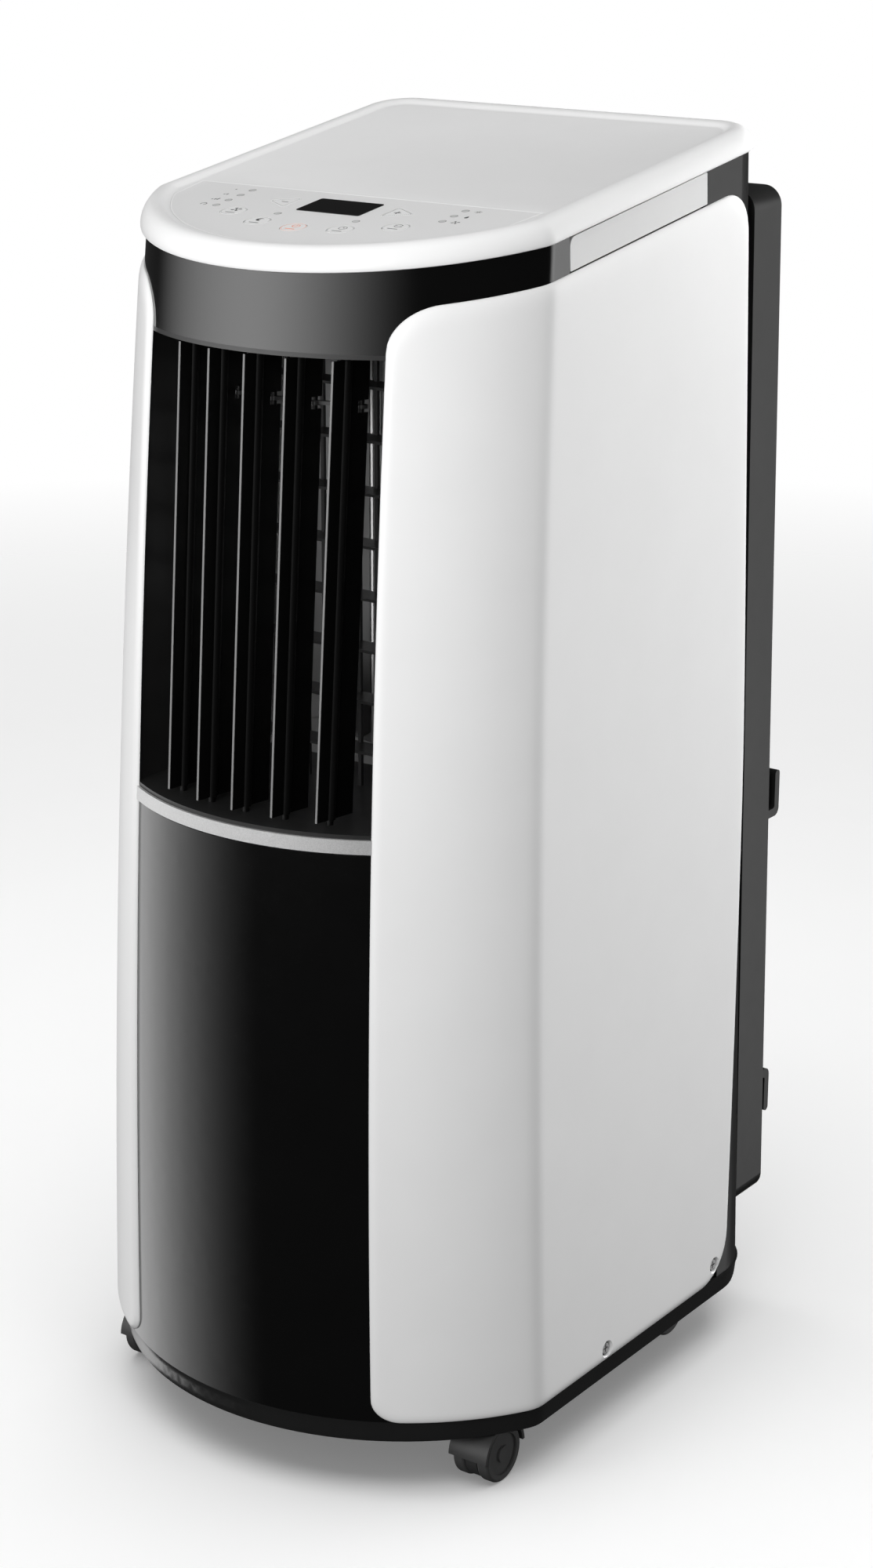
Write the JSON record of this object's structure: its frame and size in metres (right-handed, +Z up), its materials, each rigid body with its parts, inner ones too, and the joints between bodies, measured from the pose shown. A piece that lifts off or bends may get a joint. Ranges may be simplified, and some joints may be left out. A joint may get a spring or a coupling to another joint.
{
  "type": "portable air conditioner",
  "caption": "Free-standing portable air conditioner on castors: front air outlet with swinging vanes, sloping control lid, side hand grips, rear filters and round exhaust collar.",
  "frame": {"origin": "on the floor, at the middle of the machine's own box in plan", "axes": "+Z up, -Y towards the air outlet and control end, +X to the right of someone facing the outlet"},
  "size_m": [0.3202, 0.3946, 0.7678],
  "materials": {
    "white_plastic": "satin moulded",
    "gloss_black": "polished piano black",
    "silver_paint": "satin silver paint",
    "grey_plastic": "satin moulded",
    "black_plastic": "fine moulded grain",
    "vane_plastic": "satin moulded",
    "inner_plastic": "plain moulded",
    "fan_plastic": "plain moulded",
    "steel": "zinc plated",
    "film_print": "satin printed film",
    "key_plastic": "satin moulded",
    "display_black": "polished tinted window",
    "lens_clear": "clear moulded",
    "board_green": "lacquered board",
    "coil_fins": "pressed fins",
    "copper_pipe": "drawn copper",
    "black_enamel": "black enamel",
    "rubber": "moulded",
    "castor_plastic": "moulded",
    "castor_tread": "moulded"
  },
  "bodies": {
    "body": {"base_pan": "black_plastic", "side_panel_left": "white_plastic", "side_panel_right": "white_plastic", "panel_screws": "steel", "lower_front_panel": "gloss_black", "upper_band": "gloss_black", "outlet_trim": "silver_paint", "outlet_duct": "black_plastic", "outlet_guard": "black_plastic", "vane_motor": "steel", "upper_scroll": "inner_plastic", "upper_motor": "steel", "lower_scroll": "inner_plastic", "lower_motor": "steel", "rear_casing": "black_plastic", "exhaust_collar": "black_plastic", "cord_gland": "black_plastic", "cord_hook_upper": "black_plastic", "cord_hook_lower": "black_plastic", "handle_pocket_left": "black_plastic", "handle_pocket_right": "black_plastic", "lid": "white_plastic", "control_film": "film_print", "display_window": "display_black", "status_lenses": "lens_clear", "key_board": "board_green", "drain_tray": "inner_plastic", "compressor": "black_enamel", "evaporator": "coil_fins", "condenser": "coil_fins", "pipework": "copper_pipe", "control_box": "inner_plastic"},
    "vane_1": {"vane_1": "vane_plastic"},
    "vane_2": {"vane_2": "vane_plastic"},
    "vane_3": {"vane_3": "vane_plastic"},
    "vane_4": {"vane_4": "vane_plastic"},
    "vane_5": {"vane_5": "vane_plastic"},
    "vane_link": {"vane_link": "black_plastic"},
    "upper_wheel": {"upper_wheel": "fan_plastic"},
    "lower_wheel": {"lower_wheel": "fan_plastic"},
    "filter_upper": {"filter_upper": "black_plastic"},
    "filter_lower": {"filter_lower": "black_plastic"},
    "drain_plug": {"drain_plug": "rubber"},
    "handle_flap_right": {"handle_flap_right": "grey_plastic"},
    "handle_flap_left": {"handle_flap_left": "grey_plastic"},
    "key_fan": {"key_fan": "key_plastic"},
    "key_sleep": {"key_sleep": "key_plastic"},
    "key_power": {"key_power": "key_plastic"},
    "key_timer": {"key_timer": "key_plastic"},
    "key_mode": {"key_mode": "key_plastic"},
    "key_minus": {"key_minus": "key_plastic"},
    "key_plus": {"key_plus": "key_plastic"},
    "castor_fork_front_left": {"castor_fork_front_left": "castor_plastic"},
    "castor_wheels_front_left": {"castor_wheels_front_left": "castor_tread"},
    "castor_fork_front_right": {"castor_fork_front_right": "castor_plastic"},
    "castor_wheels_front_right": {"castor_wheels_front_right": "castor_tread"},
    "castor_fork_rear_left": {"castor_fork_rear_left": "castor_plastic"},
    "castor_wheels_rear_left": {"castor_wheels_rear_left": "castor_tread"},
    "castor_fork_rear_right": {"castor_fork_rear_right": "castor_plastic"},
    "castor_wheels_rear_right": {"castor_wheels_rear_right": "castor_tread"}
  },
  "joints": [
    {"name": "vane_1_swing", "type": "hinge", "parent": "body", "child": "vane_1", "pos_m": [-0.0528, -0.16326, 0.403], "axis": [0, 0.0736, 0.9973], "range_deg": [-32, 32]},
    {"name": "vane_2_swing", "type": "hinge", "parent": "body", "child": "vane_2", "pos_m": [-0.0264, -0.16982, 0.403], "axis": [0, 0.0713, 0.9975], "range_deg": [-32, 32]},
    {"name": "vane_3_swing", "type": "hinge", "parent": "body", "child": "vane_3", "pos_m": [0, -0.17195, 0.403], "axis": [0, 0.0707, 0.9975], "range_deg": [-32, 32]},
    {"name": "vane_4_swing", "type": "hinge", "parent": "body", "child": "vane_4", "pos_m": [0.0264, -0.16982, 0.403], "axis": [0, 0.0713, 0.9975], "range_deg": [-32, 32]},
    {"name": "vane_5_swing", "type": "hinge", "parent": "body", "child": "vane_5", "pos_m": [0.0528, -0.16326, 0.403], "axis": [0, 0.0736, 0.9973], "range_deg": [-32, 32]},
    {"name": "vane_link_swing", "type": "hinge", "parent": "vane_3", "child": "vane_link", "pos_m": [0, -0.14047, 0.63512], "axis": [0, 0.0707, 0.9975], "range_deg": [-32, 32]},
    {"name": "upper_wheel_spin", "type": "hinge", "parent": "body", "child": "upper_wheel", "pos_m": [0, 0.008, 0.535], "axis": [0, 0, 1], "continuous": true},
    {"name": "lower_wheel_spin", "type": "hinge", "parent": "body", "child": "lower_wheel", "pos_m": [0, 0.026, 0.258], "axis": [1, 0, 0], "continuous": true},
    {"name": "filter_upper_pull", "type": "slide", "parent": "body", "child": "filter_upper", "axis": [0, 1, 0], "range_m": [0, 0.06]},
    {"name": "filter_lower_pull", "type": "slide", "parent": "body", "child": "filter_lower", "axis": [0, 1, 0], "range_m": [0, 0.06]},
    {"name": "drain_plug_pull", "type": "slide", "parent": "body", "child": "drain_plug", "axis": [0, 1, 0], "range_m": [0, 0.03]},
    {"name": "handle_flap_right_push", "type": "hinge", "parent": "body", "child": "handle_flap_right", "pos_m": [0.13076, 0.01675, 0.73223], "axis": [0, 0.9896, 0.144], "range_deg": [0, 30], "stiffness_Nm_per_rad": 0.02, "springref_deg": -17.19},
    {"name": "handle_flap_left_push", "type": "hinge", "parent": "body", "child": "handle_flap_left", "pos_m": [-0.13076, 0.01675, 0.73223], "axis": [0, -0.9896, -0.144], "range_deg": [0, 30], "stiffness_Nm_per_rad": 0.02, "springref_deg": -17.19},
    {"name": "key_fan_press", "type": "slide", "parent": "body", "child": "key_fan", "axis": [0, 0.144, -0.9896], "range_m": [0, 0.0004], "stiffness_N_per_m": 300, "springref_m": -0.0006},
    {"name": "key_sleep_press", "type": "slide", "parent": "body", "child": "key_sleep", "axis": [0, 0.144, -0.9896], "range_m": [0, 0.0004], "stiffness_N_per_m": 300, "springref_m": -0.0006},
    {"name": "key_power_press", "type": "slide", "parent": "body", "child": "key_power", "axis": [0, 0.144, -0.9896], "range_m": [0, 0.0004], "stiffness_N_per_m": 300, "springref_m": -0.0006},
    {"name": "key_timer_press", "type": "slide", "parent": "body", "child": "key_timer", "axis": [0, 0.144, -0.9896], "range_m": [0, 0.0004], "stiffness_N_per_m": 300, "springref_m": -0.0006},
    {"name": "key_mode_press", "type": "slide", "parent": "body", "child": "key_mode", "axis": [0, 0.144, -0.9896], "range_m": [0, 0.0004], "stiffness_N_per_m": 300, "springref_m": -0.0006},
    {"name": "key_minus_press", "type": "slide", "parent": "body", "child": "key_minus", "axis": [0, 0.144, -0.9896], "range_m": [0, 0.0004], "stiffness_N_per_m": 300, "springref_m": -0.0006},
    {"name": "key_plus_press", "type": "slide", "parent": "body", "child": "key_plus", "axis": [0, 0.144, -0.9896], "range_m": [0, 0.0004], "stiffness_N_per_m": 300, "springref_m": -0.0006},
    {"name": "castor_fork_front_left_swivel", "type": "hinge", "parent": "body", "child": "castor_fork_front_left", "pos_m": [-0.127, -0.101, 0.045], "axis": [0, 0, 1], "continuous": true},
    {"name": "castor_wheels_front_left_roll", "type": "hinge", "parent": "castor_fork_front_left", "child": "castor_wheels_front_left", "pos_m": [-0.127, -0.113, 0.0175], "axis": [1, 0, 0], "continuous": true},
    {"name": "castor_fork_front_right_swivel", "type": "hinge", "parent": "body", "child": "castor_fork_front_right", "pos_m": [0.127, -0.101, 0.045], "axis": [0, 0, 1], "continuous": true},
    {"name": "castor_wheels_front_right_roll", "type": "hinge", "parent": "castor_fork_front_right", "child": "castor_wheels_front_right", "pos_m": [0.127, -0.113, 0.0175], "axis": [1, 0, 0], "continuous": true},
    {"name": "castor_fork_rear_left_swivel", "type": "hinge", "parent": "body", "child": "castor_fork_rear_left", "pos_m": [-0.112, 0.112, 0.045], "axis": [0, 0, 1], "continuous": true},
    {"name": "castor_wheels_rear_left_roll", "type": "hinge", "parent": "castor_fork_rear_left", "child": "castor_wheels_rear_left", "pos_m": [-0.112, 0.1, 0.0175], "axis": [1, 0, 0], "continuous": true},
    {"name": "castor_fork_rear_right_swivel", "type": "hinge", "parent": "body", "child": "castor_fork_rear_right", "pos_m": [0.112, 0.112, 0.045], "axis": [0, 0, 1], "continuous": true},
    {"name": "castor_wheels_rear_right_roll", "type": "hinge", "parent": "castor_fork_rear_right", "child": "castor_wheels_rear_right", "pos_m": [0.112, 0.1, 0.0175], "axis": [1, 0, 0], "continuous": true}
  ],
  "couplings": [
    {"joint": "vane_1_swing", "follows": "vane_3_swing", "ratio": 1},
    {"joint": "vane_2_swing", "follows": "vane_3_swing", "ratio": 1},
    {"joint": "vane_4_swing", "follows": "vane_3_swing", "ratio": 1},
    {"joint": "vane_5_swing", "follows": "vane_3_swing", "ratio": 1},
    {"joint": "vane_link_swing", "follows": "vane_3_swing", "ratio": -1}
  ]
}
